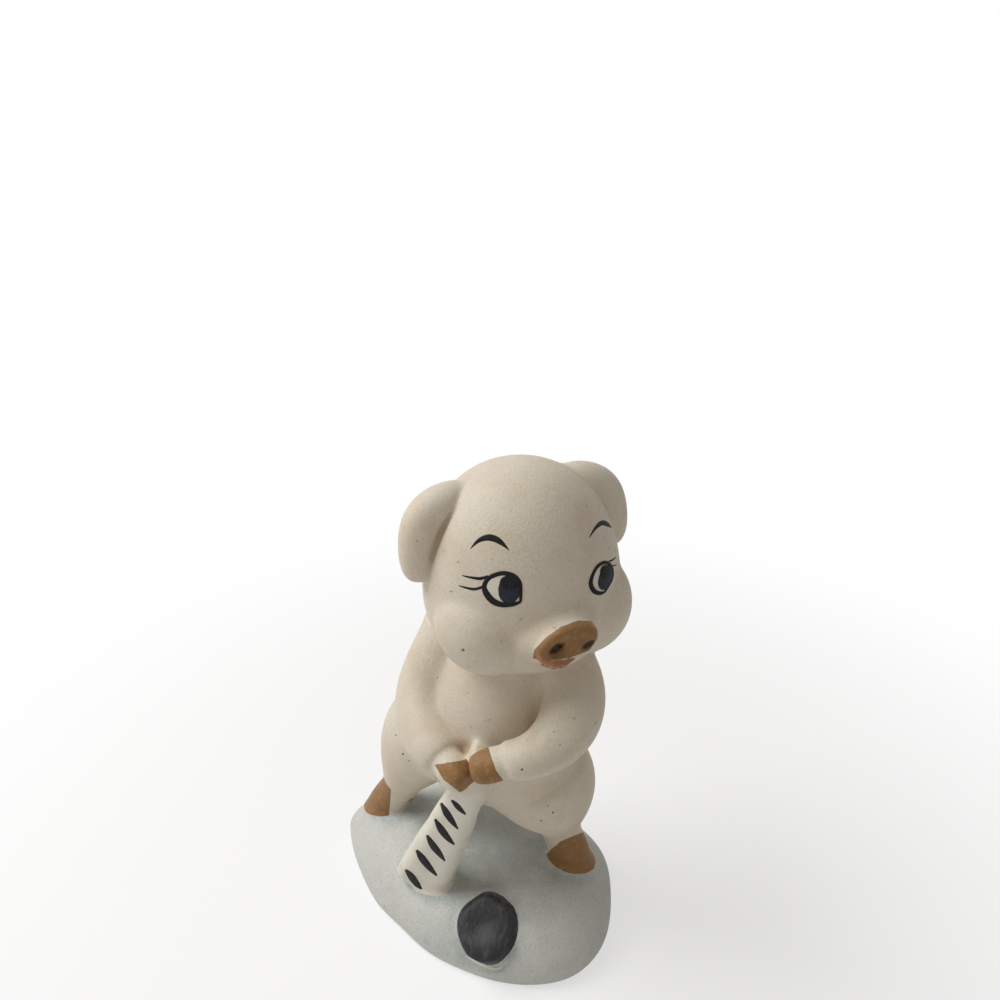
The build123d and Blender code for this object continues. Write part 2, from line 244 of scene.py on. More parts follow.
class PigStage(PropertyGroup):
    """Camera, light and floor."""

    camera_place: FloatVectorProperty(name="Camera Place", description="Where the camera stands",
                                      subtype="TRANSLATION", default=(0.0359, -0.0678, 0.0906))
    camera_ahead: FloatVectorProperty(name="Camera Ahead", description="Direction that it looks in",
                                      subtype="DIRECTION", default=(-0.362, 0.855, -0.370))
    camera_right: FloatVectorProperty(name="Camera Right", description="Direction of the picture's right",
                                      subtype="DIRECTION", default=(0.926, 0.376, -0.037))
    focal: FloatProperty(name="Focal Length", description="In pixels of the photograph", default=700.0)
    sensor: FloatProperty(name="Sensor", description="Sensor width in mm", default=36.0)
    floor: FloatProperty(name="Floor", description="Width of the floor", default=6.0, unit="LENGTH")
    key: FloatProperty(name="Key Light", description="Power of the main light", default=0.98, unit="POWER")
    key_place: FloatVectorProperty(name="Key Place", description="Where the main light hangs",
                                   subtype="TRANSLATION", default=(-0.20, -0.06, 0.31))
    key_size: FloatProperty(name="Key Size", description="Width of the main light", default=0.22,
                            unit="LENGTH")
    fill: FloatProperty(name="Fill Light", description="Power of the fill light", default=0.03, unit="POWER")
    fill_place: FloatVectorProperty(name="Fill Place", description="Where the fill light hangs",
                                    subtype="TRANSLATION", default=(0.30, -0.20, 0.14))
    fill_size: FloatProperty(name="Fill Size", description="Width of the fill light", default=0.30,
                             unit="LENGTH")
    sky: FloatProperty(name="Sky", description="Strength of the even light from all round", default=0.3)


def settings():
    """The figurine's settings in this scene."""
    scene = bpy.context.scene
    return scene.pig_clay, scene.pig_colours, scene.pig_stage


def smooth_min(first, second, fillet):
    """Lower of two distances, with a fillet where they come close."""
    lower = np.minimum(first, second)
    if not fillet:
        return lower
    near = np.maximum(fillet - np.abs(first - second), 0)
    return lower - near * near / (4 * fillet)


def blurred(values, width):
    """Values averaged over a width in cells, twice along each axis."""
    reach = max(int(round(width / 2)), 1)
    for axis in (0, 1, 2, 0, 1, 2):
        ends = [(0, 0)] * 3
        ends[axis] = (reach + 1, reach)
        total = np.cumsum(np.pad(values, ends, mode="edge"), axis=axis, dtype=np.float64)
        count = values.shape[axis]
        span = 2 * reach + 1
        upper = np.take(total, np.arange(span, span + count), axis)
        lower = np.take(total, np.arange(count), axis)
        values = ((upper - lower) / span).astype(np.float32)
    return values


class Clay:
    """Distances in mm to the luted figurine, on one grid that all its castings share."""

    def __init__(self, sizes):
        self.sizes = sizes
        self.cell = sizes.cell / MM
        self.far = self.cell * sizes.band
        margin = FIELD_MARGIN * self.cell
        low, high = (np.array(corner) / MM for corner in CAD_BOX)
        self.low = np.floor((low - margin) / self.cell).astype(int)
        self.shape = tuple(np.ceil((high + margin) / self.cell).astype(int) - self.low + 1)
        self.transform = openvdb.createLinearTransform(self.cell)
        self.grids = {node: self.level_set(node) for node in FILLETS}
        self.body = np.full(self.shape, self.far, np.float32)
        self.nearest = np.full(self.shape, self.far, np.float32)
        self.second = self.nearest.copy()
        self.owner = np.zeros(self.shape, np.uint8)
        skin = self.lumps(*SKIN_LUMPS)
        for index, (node, fillet) in enumerate(FILLETS.items()):
            own = self.distance(node)
            self.second = np.minimum(self.second, np.maximum(own, self.nearest))
            self.owner[own < self.nearest] = index
            self.nearest = np.minimum(self.nearest, own)
            swelling = self.lumps(*LUMPS[node]) if node in LUMPS else skin
            self.body = smooth_min(self.body, own + swelling, fillet)
        for middle, radius, fillet in PADS:
            gap = sum((axis - at) ** 2 for axis, at in zip(self.axes(), middle))
            self.body = smooth_min(self.body, np.sqrt(gap) - np.float32(radius), fillet)
        for stroke in LIP_BEADS:
            self.body = smooth_min(self.body, self.rounded(stroke), CARVED_SOFTNESS)
        for stroke in CARVED:
            self.body = -smooth_min(-self.body, self.rounded(stroke), CARVED_SOFTNESS)
        self.body = blurred(self.body, sizes.soften / MM / self.cell)
        height = (np.arange(self.shape[2]) + self.low[2]) * self.cell
        self.body = np.maximum(self.body, -height.astype(np.float32))
        self.crease = blurred(self.body, sizes.crease_reach / MM / self.cell) - self.body

    def level_set(self, node):
        """Signed distance grid of one casting, from its solid."""
        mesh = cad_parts[node].data
        points = np.empty(3 * len(mesh.vertices), np.float32)
        mesh.vertices.foreach_get("co", points)
        mesh.calc_loop_triangles()
        corners = np.empty(3 * len(mesh.loop_triangles), np.int32)
        mesh.loop_triangles.foreach_get("vertices", corners)
        return openvdb.FloatGrid.createLevelSetFromPolygons(
            points.reshape(-1, 3) / np.float32(MM), triangles=corners.reshape(-1, 3).astype(np.uint32),
            transform=self.transform, halfWidth=float(self.sizes.band))

    def distance(self, node):
        """Signed distance to one casting at every place of the field."""
        values = np.empty(self.shape, np.float32)
        self.grids[node].copyToArray(values, ijk=tuple(int(i) for i in self.low))
        return values

    def lumps(self, spacing, height, seed):
        """Smooth uneven swelling of the surface."""
        draw = np.random.default_rng(seed)
        values = draw.uniform(-height, height, [int(n * self.cell / spacing) + 3 for n in self.shape])
        for axis, count in enumerate(self.shape):
            place = np.arange(count) * self.cell / spacing
            step = place.astype(int)
            share = place - step
            ease = (share * share * (3 - 2 * share)).reshape([-1 if i == axis else 1 for i in range(3)])
            values = np.take(values, step, axis) * (1 - ease) + np.take(values, step + 1, axis) * ease
        return values.astype(np.float32)

    def sample(self, values, points):
        """Values of the field between its places, at points in mm."""
        place = points / self.cell - self.low
        step = np.clip(place.astype(int), 0, np.array(self.shape) - 2)
        share = place - step
        total = np.zeros(len(points))
        for corner in np.ndindex(2, 2, 2):
            weight = np.prod(np.where(corner, share, 1 - share), axis=1)
            total += weight * values[tuple((step + corner).T)]
        return total

    def seen(self, x, y):
        """Place in mm where the eye sees the clay at a pixel of the photograph."""
        stage = settings()[2]
        off_right, off_down = ((at - PHOTO_SIZE / 2) / stage.focal for at in (x, y))
        ahead = Vector(stage.camera_ahead)
        right = Vector(stage.camera_right)
        ray = np.array(ahead + right * off_right + ahead.cross(right) * off_down)
        reach = np.arange(*SIGHT, self.cell / 2)
        places = np.array(stage.camera_place) / MM + reach[:, None] * ray
        index = np.round(places / self.cell).astype(int) - self.low
        held = ((index >= 0) & (index < self.shape)).all(axis=1)
        places = places[held]
        return places[np.argmax(self.body[tuple(index[held].T)] < 0)]

    def visible(self, points):
        """Whether the eye sees points in mm, with no clay before them."""
        way = np.array(settings()[2].camera_place) / MM - points
        way /= np.linalg.norm(way, axis=1)[:, None]
        clear = np.ones(len(points), bool)
        for reach in np.arange(*CLEAR_SIGHT):
            index = np.round((points + reach * way) / self.cell).astype(int) - self.low
            held = ((index >= 0) & (index < self.shape)).all(axis=1)
            clear[held] &= self.body[tuple(index[held].T)] > 0
        return clear

    def axes(self):
        """Places of the field in mm along each axis."""
        steps = np.ogrid[tuple(slice(0, n) for n in self.shape)]
        return [(step + low) * np.float32(self.cell) for step, low in zip(steps, self.low)]

    def rounded(self, stroke):
        """Distance to a round rod along a stroke in pixels with its radius in mm."""
        places = [(self.seen(x, y), radius) for x, y, radius in stroke]
        axes = self.axes()
        rod = np.full(self.shape, self.far, np.float32)
        for (start, thick), (end, thin) in zip(places, places[1:]):
            run = end - start
            along = sum((axis - at) * way for axis, at, way in zip(axes, start, run)) / (run @ run)
            along = np.clip(along, 0, 1)
            gap = sum((axis - at - along * way) ** 2 for axis, at, way in zip(axes, start, run))
            rod = np.minimum(rod, np.sqrt(gap) - thick - along * (thin - thick))
        return rod

    def surface(self, node):
        """Points in mm and quads of one casting, which runs a little way under its neighbours."""
        index = list(FILLETS).index(node)
        own = self.distance(node)
        past = own - np.where(self.owner == index, self.second, self.nearest)
        overlap = self.sizes.overlap / MM
        under = np.maximum(past, 0) / overlap
        values = np.maximum(self.body + self.sizes.dive / MM * under * under, past - overlap)
        grid = openvdb.FloatGrid(float(self.far))
        grid.transform = self.transform
        grid.copyFromArray(np.minimum(values, self.far), ijk=tuple(int(i) for i in self.low), tolerance=0.0)
        return grid.convertToQuads(isovalue=0.0)


def without_crumbs(points, quads):
    """Points and quads without specks that are cut off from the rest."""
    labels = np.arange(len(points))
    while True:
        lowest = labels.copy()
        np.minimum.at(lowest, quads.ravel(), np.repeat(labels[quads].min(axis=1), 4))
        lowest = lowest[lowest]
        if (lowest == labels).all():
            break
        labels = lowest
    counts = np.bincount(labels, minlength=len(points))
    kept = counts[labels] > len(points) * CRUMB_SHARE
    renumbered = np.cumsum(kept) - 1
    return points[kept], renumbered[quads[kept[quads[:, 0]]]]


def closed_mesh(name, points, quads):
    """Smooth mesh in metres whose faces point outwards."""
    mesh = bpy.data.meshes.new(name)
    mesh.from_pydata((points * MM).tolist(), [], quads.tolist())
    turned = bmesh.new()
    turned.from_mesh(mesh)
    if turned.calc_volume(signed=True) < 0:
        bmesh.ops.reverse_faces(turned, faces=turned.faces)
    turned.to_mesh(mesh)
    turned.free()
    mesh.shade_smooth()
    return mesh


def pictured(points):
    """Pixels of the photograph at which the eye sees points in mm."""
    stage = settings()[2]
    ahead, right = np.array(stage.camera_ahead), np.array(stage.camera_right)
    off = points * MM - np.array(stage.camera_place)
    spread = np.stack([off @ right, off @ np.cross(ahead, right)], axis=1)
    return spread / (off @ ahead)[:, None] * stage.focal + PHOTO_SIZE / 2


def beyond(edge, pixels):
    """Distance in pixels past an edge, to the right of the way it runs."""
    nearest = np.full(len(pixels), np.inf)
    past = np.zeros(len(pixels))
    for start, end in zip(edge, edge[1:]):
        run = np.subtract(end, start)
        off = pixels - start
        along = np.clip(off @ run / (run @ run), 0, 1)
        gap = np.linalg.norm(off - along[:, None] * run, axis=1)
        across = (off[:, 1] * run[0] - off[:, 0] * run[1]) / np.linalg.norm(run)
        rank = gap - np.abs(across) / PHOTO_SIZE
        past = np.where(rank < nearest, np.copysign(gap, across), past)
        nearest = np.minimum(nearest, rank)
    return past


def stained(clay, node, points, seen):
    """Share of brown at points of a stained piece or its carrier, or of bare clay on the stick."""
    for piece, (carrier, edge) in STAIN_EDGES.items():
        if node in (piece, carrier):
            share = np.clip(beyond(edge, pictured(points)) / STAIN_FADE + 0.5, 0, 1)
            if node == carrier:
                share[clay.sample(clay.distance(piece), points) > STAIN_RUN] = 0
            return np.where(seen, share, float(node == piece))
    return np.clip(points[:, 2] - BARE_STICK, 0, 1) if node == "stick" else np.zeros(len(points))


def brushed(strokes, points, seen):
    """Share of paint at points in mm, from strokes in pixels with half their width."""
    pixels = pictured(points)
    outside = np.full(len(points), np.inf)
    for stroke in strokes:
        for start, end in zip(stroke, stroke[1:]):
            run = np.subtract(end[:2], start[:2])
            off = pixels - start[:2]
            along = np.clip(off @ run / (run @ run), 0, 1)
            gap = np.linalg.norm(off - along[:, None] * run, axis=1)
            outside = np.minimum(outside, gap - start[2] - along * (end[2] - start[2]))
    return np.clip(0.5 - outside / STROKE_FADE, 0, 1) * seen


def casting(clay, node, finish):
    """One dressed casting in place of its node."""
    points, quads = without_crumbs(*clay.surface(node))
    mesh = closed_mesh(node + "_casting", points, quads)
    seen = clay.visible(points)
    held = {"crease": clay.sample(clay.crease, points), "stain": stained(clay, node, points, seen)}
    if node in MUZZLE:
        held.update(nostril=brushed(NOSTRILS, points, seen), lip=brushed(LIPS, points, seen))
    for name, values in held.items():
        attribute = mesh.attributes.new(name, "FLOAT", "POINT")
        attribute.data.foreach_set("value", values.astype(np.float32))
    mesh.materials.append(finish)
    piece = bpy.data.objects.new(mesh.name, mesh)
    bpy.context.scene.collection.objects.link(piece)
    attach(piece, BODY)
    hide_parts(node)


class Value:
    """A socket of a shader tree that takes part in sums."""

    def __init__(self, shading, socket):
        self.shading = shading
        self.socket = socket

    def maths(self, operation, *terms):
        return self.shading.node("ShaderNodeMath", {"operation": operation}, dict(enumerate(terms)))

    def __add__(self, other):
        return self.maths("ADD", self, other)

    def __sub__(self, other):
        return self.maths("SUBTRACT", self, other)

    def __mul__(self, other):
        return self.maths("MULTIPLY", self, other)

    def __rsub__(self, other):
        return self.maths("SUBTRACT", other, self)

    __radd__ = __add__

    def between(self, low, high):
        """Smooth share, 0 at low and 1 at high."""
        return self.shading.node("ShaderNodeMapRange", {"interpolation_type": "SMOOTHSTEP"},
                                {0: self, 1: low, 2: high})


class Shading:
    """A shader tree whose nodes are added in order."""

    def __init__(self, tree):
        self.tree = tree

    def node(self, kind, options, sockets, output=0):
        """Value of a new node with its options set and its sockets filled."""
        node = self.tree.nodes.new(kind)
        for option, value in options.items():
            setattr(node, option, value)
        for socket, value in sockets.items():
            if isinstance(value, Value):
                self.tree.links.new(value.socket, node.inputs[socket])
            else:
                node.inputs[socket].default_value = value
        return Value(self, node.outputs[output])


class Finish(Shading):
    """A material and the shader nodes behind it."""

    def __init__(self, name, **constants):
        self.material = bpy.data.materials.new(name)
        self.material.use_nodes = True
        super().__init__(self.material.node_tree)
        self.shader = next(n for n in self.tree.nodes if n.type == "BSDF_PRINCIPLED")
        for socket, value in constants.items():
            self.shader.inputs[socket.replace("_", " ")].default_value = value

    def places(self):
        """Places on the piece in mm."""
        own = self.node("ShaderNodeTexCoord", {}, {}, "Object")
        return self.node("ShaderNodeVectorMath", {"operation": "SCALE"}, {0: own, "Scale": 1 / MM})

    def noise(self, places, spacing, detail=2.0, rough=0.5):
        """Cloudy share from 0 to 1 with clouds about a spacing in mm apart."""
        return self.node("ShaderNodeTexNoise", {}, {"Vector": places, "Scale": 1 / spacing, "Detail": detail,
                                                    "Roughness": rough})

    def grain(self, places):
        """Fine grain of the clay."""
        return self.noise(places, GRAIN, 3.0, 0.6)

    def mixed(self, share, first, second):
        """Colour that goes from the first to the second."""
        return self.node("ShaderNodeMix", {"data_type": "RGBA"}, {0: share, 6: first, 7: second}, 2)

    def attribute(self, name):
        """Value that the mesh holds at each of its points."""
        return self.node("ShaderNodeAttribute", {"attribute_name": name}, {}, "Fac")

    def feed(self, socket, value):
        """Drive one socket of the shader by a value."""
        self.tree.links.new(value.socket, self.shader.inputs[socket])

    def bump(self, height, distance):
        """Fine relief of a height share times a distance in mm."""
        relief = self.node("ShaderNodeBump", {}, {"Height": height, "Distance": distance * MM})
        self.feed("Normal", relief)


def opaque(colour):
    """Colour with full alpha."""
    return (*colour, 1.0)


def bisque_tone(finish, places, grain):
    """Warm off-white with clouds, brown specks, dirt clouds and painted warm shade in the folds."""
    colours = settings()[1]
    # Painted shade: the bisque is darkened toward the warm fold tone where its surface is hollow
    folds = finish.attribute("crease") * -1.0
    cloud = finish.noise(places, 9.0, 3.0)
    fold_shade = (folds + (cloud - 0.5) * 0.3).between(0.02, 0.36)
    tone = finish.mixed(fold_shade, opaque(colours.skin), opaque(colours.fold_shade_and_dirt))
    patch = finish.noise(places, 6.0, 5.0, 0.65).between(0.46, 0.64)
    tone = finish.mixed(patch * 0.45, tone, opaque(colours.flush))
    rosy = finish.noise(places, 3.5, 4.0, 0.6).between(0.55, 0.75)
    tone = finish.mixed(rosy * 0.35, tone, opaque(colours.rose))
    specks = finish.noise(places, 0.9, 1.0).between(0.74, 0.79)
    tone = finish.mixed(specks * 0.5, tone, opaque(colours.speck))
    dirt = finish.noise(places, 2.2, 6.0, 0.75).between(0.62, 0.74)
    tone = finish.mixed(dirt * 0.3, tone, opaque(colours.fold_shade_and_dirt))
    return finish.mixed(grain.between(0.35, 0.75) * 0.3, tone, opaque(colours.grain))


def hoof_tone(finish, places, brush):
    """Brown stain brushed on thinly, darker where it pools."""
    colours = settings()[1]
    pooled = (finish.attribute("crease") * -1.0 + (brush - 0.5) * 0.6).between(-0.06, 0.24)
    tone = finish.mixed(pooled, opaque(colours.hoof), opaque(colours.hoof_dark))
    thin = finish.noise(places, 0.7, 4.0, 0.6).between(0.5, 0.7)
    return finish.mixed(thin * 0.5, tone, opaque(colours.hoof_thin))


def bisque_finish():
    """Unglazed porcelain with a fine grain and a faint sheen."""
    finish = Finish("unglazed bisque", Specular_IOR_Level=0.35)
    places = finish.places()
    grain = finish.grain(places)
    finish.feed("Base Color", bisque_tone(finish, places, grain))
    finish.feed("Roughness", 0.38 + finish.noise(places, 2.5) * 0.24)
    finish.bump(grain, 0.07)
    return finish.material


def stained_finish():
    """Bisque with brown stain beyond the edge that the brush left."""
    finish = Finish("stained bisque", Specular_IOR_Level=0.3)
    places = finish.places()
    grain = finish.grain(places)
    brush = finish.noise(places, 1.1, 4.0, 0.6)
    share = (finish.attribute("stain") + (brush - 0.5) * 0.3).between(0.3, 0.7)
    tone = finish.mixed(share, bisque_tone(finish, places, grain), hoof_tone(finish, places, brush))
    colours = settings()[1]
    edge = share * (1 - share) * 2.4
    tone = finish.mixed(edge, tone, opaque(colours.hoof_dark))
    red = finish.mixed(brush.between(0.45, 0.7) * 0.6, opaque(colours.lip), opaque(colours.lip_dry))
    tone = finish.mixed(finish.attribute("lip").between(0.2, 0.8), tone, red)
    dark = finish.attribute("nostril").between(0.2, 0.8)
    finish.feed("Base Color", finish.mixed(dark, tone, opaque(colours.nostril)))
    finish.feed("Roughness", 0.38 + brush * 0.24)
    finish.bump(grain, 0.07)
    return finish.material


def ice_finish():
    """Blue-grey stain sponged over bisque, worn pale on the rims, with painted shade in its folds."""
    colours = settings()[1]
    finish = Finish("ice stain", Specular_IOR_Level=0.3)
    places = finish.places()
    mottle = finish.noise(places, 2.2, 5.0, 0.65).between(0.35, 0.68)
    tone = finish.mixed(mottle, opaque(colours.ice), opaque(colours.frost))
    rim = finish.attribute("crease")
    worn = (rim + (finish.noise(places, 1.5, 3.0) - 0.5) * 0.2).between(0.08, 0.3)
    tone = finish.mixed(worn * 0.6, tone, opaque(colours.rim))
    # Painted shade: the mound's folds are darkened toward grey
    tone = finish.mixed((rim * -1.0).between(0.05, 0.35) * 0.6, tone, opaque(colours.shade_and_mottle_grey))
    specks = finish.noise(places, 0.7, 1.0).between(0.73, 0.78)
    tone = finish.mixed(specks * 0.4, tone, opaque(colours.shade_and_mottle_grey))
    sponge = finish.noise(places, 0.3, 3.0, 0.65)
    tone = finish.mixed(sponge.between(0.5, 0.75) * 0.5, tone, opaque(colours.rim))
    tone = finish.mixed(sponge.between(0.48, 0.3) * 0.35, tone, opaque(colours.shade_and_mottle_grey))
    finish.feed("Base Color", tone)
    finish.feed("Roughness", 0.45 + mottle * 0.2)
    finish.bump(sponge, 0.08)
    return finish.material


def slip_finish():
    """White slip with a faint warm cast over bisque, which stays bare at the butt."""
    colours = settings()[1]
    finish = Finish("white slip", Specular_IOR_Level=0.3)
    places = finish.places()
    grain = finish.grain(places)
    cloud = finish.noise(places, 3.0, 4.0).between(0.45, 0.7)
    tone = finish.mixed(cloud * 0.7, opaque(colours.slip), opaque(colours.slip_warm))
    tone = finish.mixed(finish.attribute("stain"), tone, bisque_tone(finish, places, grain))
    finish.feed("Base Color", tone)
    finish.feed("Roughness", 0.45 + cloud * 0.15)
    finish.bump(grain, 0.05)
    return finish.material


def black_finish():
    """Black stain with the streaks of the brush."""
    colours = settings()[1]
    finish = Finish("black stain", Specular_IOR_Level=0.25)
    places = finish.places()
    streaks = finish.noise(finish.node("ShaderNodeMapping", {}, {"Vector": places, "Scale": (1.0, 0.3, 0.6)}),
                           0.5, 4.0, 0.6)
    tone = finish.mixed(streaks.between(0.45, 0.75), opaque(colours.black), opaque(colours.black_dry))
    finish.feed("Base Color", tone)
    finish.feed("Roughness", 0.34 + streaks * 0.25)
    finish.bump(streaks, 0.1)
    return finish.material


def paint_finish(name, colour, second, share):
    """Thin paint with a second tone where the brush ran dry."""
    finish = Finish(name, Specular_IOR_Level=0.06)
    places = finish.places()
    dry = finish.noise(places, 0.35, 3.0).between(0.5, 0.75)
    finish.feed("Base Color", finish.mixed(dry * share, opaque(colour), opaque(second)))
    finish.feed("Roughness", 0.35 + dry * 0.2)
    return finish.material


class Nodes:
    """A geometry tree whose nodes are added in order."""

    def __init__(self, name):
        self.tree = bpy.data.node_groups.new(name, "GeometryNodeTree")

    def socket(self, name, kind, way="INPUT"):
        return self.tree.interface.new_socket(name, in_out=way, socket_type=kind)

    def add(self, kind, options=None, **sockets):
        node = self.tree.nodes.new(kind)
        for option, value in (options or {}).items():
            setattr(node, option, value)
        for socket, value in sockets.items():
            self.put(node, socket.replace("_", " "), value)
        return node

    def put(self, node, socket, value):
        if isinstance(value, bpy.types.NodeSocket):
            self.tree.links.new(value, node.inputs[socket])
        else:
            node.inputs[socket].default_value = value

    def vector(self, operation, first, second=None, scale=None):
        node = self.add("ShaderNodeVectorMath", {"operation": operation})
        self.put(node, 0, first)
        if second is not None:
            self.put(node, 1, second)
        if scale is not None:
            self.put(node, "Scale", scale)
        return node.outputs[0]

    def maths(self, operation, first, second):
        node = self.add("ShaderNodeMath", {"operation": operation})
        self.put(node, 0, first)
        self.put(node, 1, second)
        return node.outputs[0]


def brush_tree():
    """Brush strokes drawn on the picture plane, laid on whatever surface the eye sees behind them."""
    nodes = Nodes("Brush strokes")
    for name, kind in (("Geometry", "NodeSocketGeometry"), ("Surface", "NodeSocketCollection"),
                       ("Eye", "NodeSocketVector"), ("Right", "NodeSocketVector"),
                       ("Down", "NodeSocketVector"), ("Ahead", "NodeSocketVector"),
                       ("Focal", "NodeSocketFloat"), ("Middle", "NodeSocketFloat"),
                       ("Step", "NodeSocketFloat"), ("Height per Pixel", "NodeSocketFloat"),
                       ("Lift", "NodeSocketFloat"), ("Material", "NodeSocketMaterial")):
        nodes.socket(name, kind)
    nodes.socket("Geometry", "NodeSocketGeometry", "OUTPUT")
    given = nodes.add("NodeGroupInput").outputs
    path = nodes.add("GeometryNodeMeshToCurve", Mesh=given["Geometry"])
    smooth = nodes.add("GeometryNodeCurveSplineType", {"spline_type": "CATMULL_ROM"}, Curve=path.outputs[0])
    width = nodes.add("GeometryNodeInputNamedAttribute", {"data_type": "FLOAT"}, Name="half_width")
    brush = nodes.add("GeometryNodeSetCurveRadius", Curve=smooth.outputs[0], Radius=width.outputs[0])
    even = nodes.add("GeometryNodeResampleCurve", {"mode": "LENGTH"}, Curve=brush.outputs[0],
                     Length=given["Step"])
    upright = nodes.add("GeometryNodeSetCurveNormal", {"mode": "Z_UP"}, Curve=even.outputs[0])
    section = nodes.add("GeometryNodeCurvePrimitiveCircle", Resolution=BRUSH_CORNERS, Radius=1.0)
    radius = nodes.add("GeometryNodeInputRadius")
    drawn = nodes.add("GeometryNodeCurveToMesh", Curve=upright.outputs[0], Scale=radius.outputs[0],
                      Profile_Curve=section.outputs[0], Fill_Caps=True)
    place = nodes.add("ShaderNodeSeparateXYZ", Vector=nodes.add("GeometryNodeInputPosition").outputs[0])
    ray = given["Ahead"]
    for axis, way in ((0, "Right"), (1, "Down")):
        off = nodes.maths("SUBTRACT", place.outputs[axis], given["Middle"])
        slope = nodes.maths("DIVIDE", off, given["Focal"])
        ray = nodes.vector("ADD", ray, nodes.vector("SCALE", given[way], scale=slope))
    seen = nodes.add("GeometryNodeCollectionInfo", {"transform_space": "RELATIVE"},
                     Collection=given["Surface"])
    solid = nodes.add("GeometryNodeRealizeInstances", Geometry=seen.outputs[0])
    hit = nodes.add("GeometryNodeRaycast", Target_Geometry=solid.outputs[0], Source_Position=given["Eye"],
                    Ray_Direction=ray, Ray_Length=1.0)
    rise = nodes.maths("MULTIPLY", place.outputs[2], given["Height per Pixel"])
    rise = nodes.maths("ADD", rise, given["Lift"])
    film = nodes.vector("ADD", hit.outputs["Hit Position"],
                        nodes.vector("SCALE", hit.outputs["Hit Normal"], scale=rise))
    laid = nodes.add("GeometryNodeSetPosition", Geometry=drawn.outputs[0], Position=film)
    whole = nodes.add("GeometryNodeRealizeInstances", Geometry=laid.outputs[0])
    coloured = nodes.add("GeometryNodeSetMaterial", Geometry=whole.outputs[0], Material=given["Material"])
    nodes.put(nodes.add("NodeGroupOutput"), "Geometry", coloured.outputs[0])
    return nodes.tree


def brushwork(name, strokes, surfaces, paint, height, lift=0.0):
    """Paint laid on the dressed castings along strokes of the brush, height and lift in mm."""
    stage = settings()[2]
    right = Vector(stage.camera_right)
    ahead = Vector(stage.camera_ahead)
    surface = bpy.data.collections.new(name + "_surface")
    for piece in surfaces:
        surface.objects.link(bpy.data.objects[piece + "_casting"])
    points = []
    edges = []
    for stroke in strokes:
        edges += [(len(points) + i, len(points) + i + 1) for i in range(len(stroke) - 1)]
        points += stroke
    drawn = bpy.data.meshes.new(name + "_strokes")
    drawn.from_pydata([(x, y, 0) for x, y, _ in points], edges, [])
    widths = drawn.attributes.new("half_width", "FLOAT", "POINT")
    widths.data.foreach_set("value", [width for _, _, width in points])
    piece = bpy.data.objects.new(name, drawn)
    bpy.context.scene.collection.objects.link(piece)
    tree = bpy.data.node_groups.get("Brush strokes") or brush_tree()
    modifier = piece.modifiers.new("Brush", "NODES")
    modifier.node_group = tree
    given = {
        "Surface": surface, "Eye": Vector(stage.camera_place), "Right": right, "Down": ahead.cross(right),
        "Ahead": ahead, "Focal": stage.focal, "Middle": PHOTO_SIZE / 2, "Step": BRUSH_STEP,
        "Height per Pixel": height * MM / max(width for _, _, width in points), "Lift": lift * MM,
        "Material": paint,
    }
    for item in tree.interface.items_tree:
        if item.in_out == "INPUT" and item.name in given:
            modifier[item.identifier] = given[item.name]
    bpy.context.view_layer.update()
    evaluated = piece.evaluated_get(bpy.context.evaluated_depsgraph_get())
    mesh = bpy.data.meshes.new_from_object(evaluated)
    piece.modifiers.remove(modifier)
    piece.data = mesh
    mesh.name = name
    bpy.data.collections.remove(surface)
    if not mesh.polygons:
        raise RuntimeError("no paint was laid for " + name)
    turned = bmesh.new()
    turned.from_mesh(mesh)
    longest = max(edge.calc_length() for edge in turned.edges) / MM
    if longest > WHOLE_PAINT:
        raise RuntimeError(f"the paint of {name} is torn by {longest:.1f} mm")
    bmesh.ops.recalc_face_normals(turned, faces=turned.faces)
    turned.to_mesh(mesh)
    turned.free()
    mesh.shade_smooth()
    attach(piece, BODY)


CLAY = {}


def clay():
    """The shared field, made once."""
    if "field" not in CLAY:
        CLAY["field"] = Clay(settings()[0])
    return CLAY["field"]


class PIG_OT_mound(Operator):
    """Make the mound of ice"""

    bl_idname = "pig.mound"
    bl_label = "Mound"

    def execute(self, context):
        casting(clay(), "base", ice_finish())
        return {"FINISHED"}


class PIG_OT_body(Operator):
    """Make the torso, ears and tail in bare bisque"""

    bl_idname = "pig.body"
    bl_label = "Body"

    def execute(self, context):
        bisque = bisque_finish()
        for node in ("torso", "right_ear", "left_ear", "tail"):
            casting(clay(), node, bisque)
        return {"FINISHED"}


class PIG_OT_stained(Operator):
    """Make the arms and legs with their brown trotters and the head with its brown snout"""

    bl_idname = "pig.stained"
    bl_label = "Head and Limbs"

    def execute(self, context):
        stained_bisque = stained_finish()
        for piece, (carrier, _) in STAIN_EDGES.items():
            casting(clay(), carrier, stained_bisque)
            casting(clay(), piece, stained_bisque)
        return {"FINISHED"}


class PIG_OT_stick(Operator):
    """Make the white stick and brush its stripes"""

    bl_idname = "pig.stick"
    bl_label = "Stick"

    def execute(self, context):
        colours = settings()[1]
        casting(clay(), "stick", slip_finish())
        black = paint_finish("stripe black", colours.black, colours.black_dry, 0.6)
        brushwork("stick_stripes", STRIPES, ["stick"], black, 0.05)
        return {"FINISHED"}


class PIG_OT_puck(Operator):
    """Make the brushed black puck with the chipped edge below it"""

    bl_idname = "pig.puck"
    bl_label = "Puck"

    def execute(self, context):
        colours = settings()[1]
        casting(clay(), "puck", black_finish())
        white = paint_finish("chipped white", colours.slip, colours.rim, 0.5)
        brushwork("puck_chips", CHIPS, ["base", "puck"], white, 0.06)
        return {"FINISHED"}


